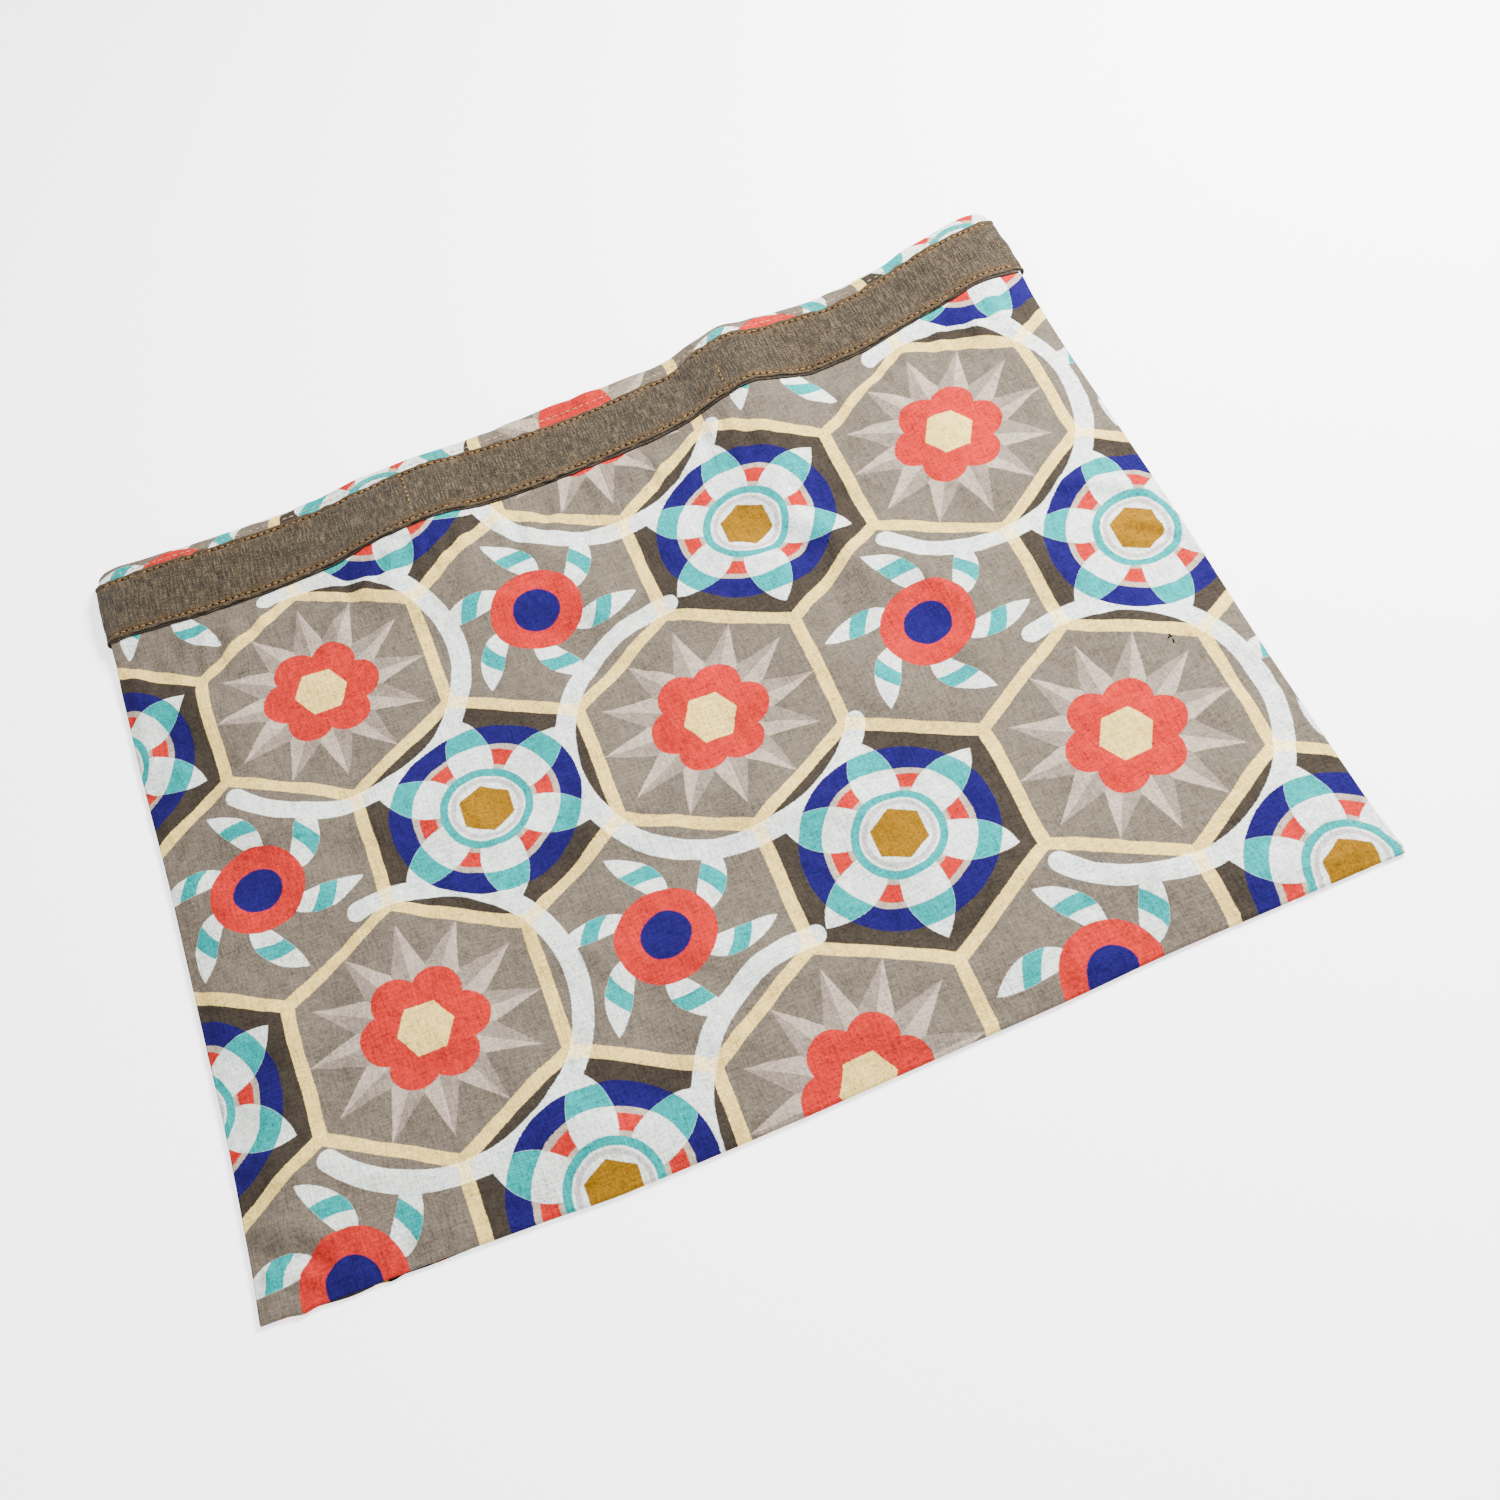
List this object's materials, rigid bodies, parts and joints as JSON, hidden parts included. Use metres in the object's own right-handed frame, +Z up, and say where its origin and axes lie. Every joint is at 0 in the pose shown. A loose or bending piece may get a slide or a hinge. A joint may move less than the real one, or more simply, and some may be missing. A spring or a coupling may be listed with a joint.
{
  "type": "cloth shopping bag",
  "caption": "Flat-lying cloth shopping bag with an open, wavy mouth, a printed front and back, and a sewn chambray band round the mouth below a narrow rim.",
  "frame": {"origin": "on the surface that the bag lies on, under the middle of its bounding box", "axes": "+X across the bag from its left side to its right, +Y from its closed bottom to its mouth, +Z up from the surface, through the back panel to the front panel"},
  "size_m": [0.4258, 0.3499, 0.0194],
  "materials": {
    "print_cloth": "matte printed cotton",
    "chambray": "matte slubby chambray"
  },
  "bodies": {
    "root": {"front_panel": "print_cloth", "back_panel": "print_cloth", "band": "chambray"}
  },
  "joints": []
}
